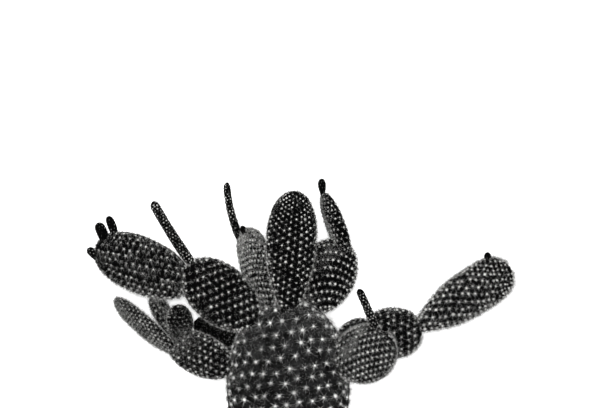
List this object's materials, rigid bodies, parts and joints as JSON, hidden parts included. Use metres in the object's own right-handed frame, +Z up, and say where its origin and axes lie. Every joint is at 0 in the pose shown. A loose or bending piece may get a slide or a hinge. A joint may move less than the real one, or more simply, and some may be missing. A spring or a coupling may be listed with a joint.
{
  "type": "prickly pear cactus branch",
  "caption": "Branch of a bunny-ear prickly pear: a large pad carrying smaller round and oval pads, slim young fingers and buds, all covered in rows of bristle tufts.",
  "frame": {"origin": "under the middle of the branch's bounding box, on the surface it lies on", "axes": "+X across the branch to its right, +Y from the main pad's cut foot towards the tips, +Z up out of the surface it lies on, towards the face the picture shows"},
  "size_m": [0.3218, 0.2464, 0.0519],
  "materials": {
    "old_skin": "matte",
    "pad_skin": "matte",
    "bristly_skin": "matte",
    "bristles": "matte",
    "young_skin": "matte"
  },
  "bodies": {
    "root": {"main_pad": "old_skin", "left_round_pad": "pad_skin", "far_left_pad": "pad_skin", "far_left_bud_low": "young_skin", "far_left_bud_mid": "young_skin", "far_left_bud_top": "young_skin", "left_finger": "young_skin", "shade_pad": "pad_skin", "low_left_pad": "pad_skin", "low_left_edge_pad": "bristly_skin", "low_left_back_pad": "pad_skin", "low_left_small_pad": "pad_skin", "side_pad": "bristly_skin", "top_left_finger": "young_skin", "side_pad_bud": "young_skin", "tall_pad": "pad_skin", "right_round_pad": "pad_skin", "upper_right_pad": "bristly_skin", "upper_right_bud": "young_skin", "right_front_pad": "pad_skin", "right_finger": "young_skin", "right_front_bud": "young_skin", "right_back_pad": "pad_skin", "right_far_round_pad": "pad_skin", "far_right_pad": "pad_skin", "far_right_bud": "young_skin"}
  },
  "joints": []
}
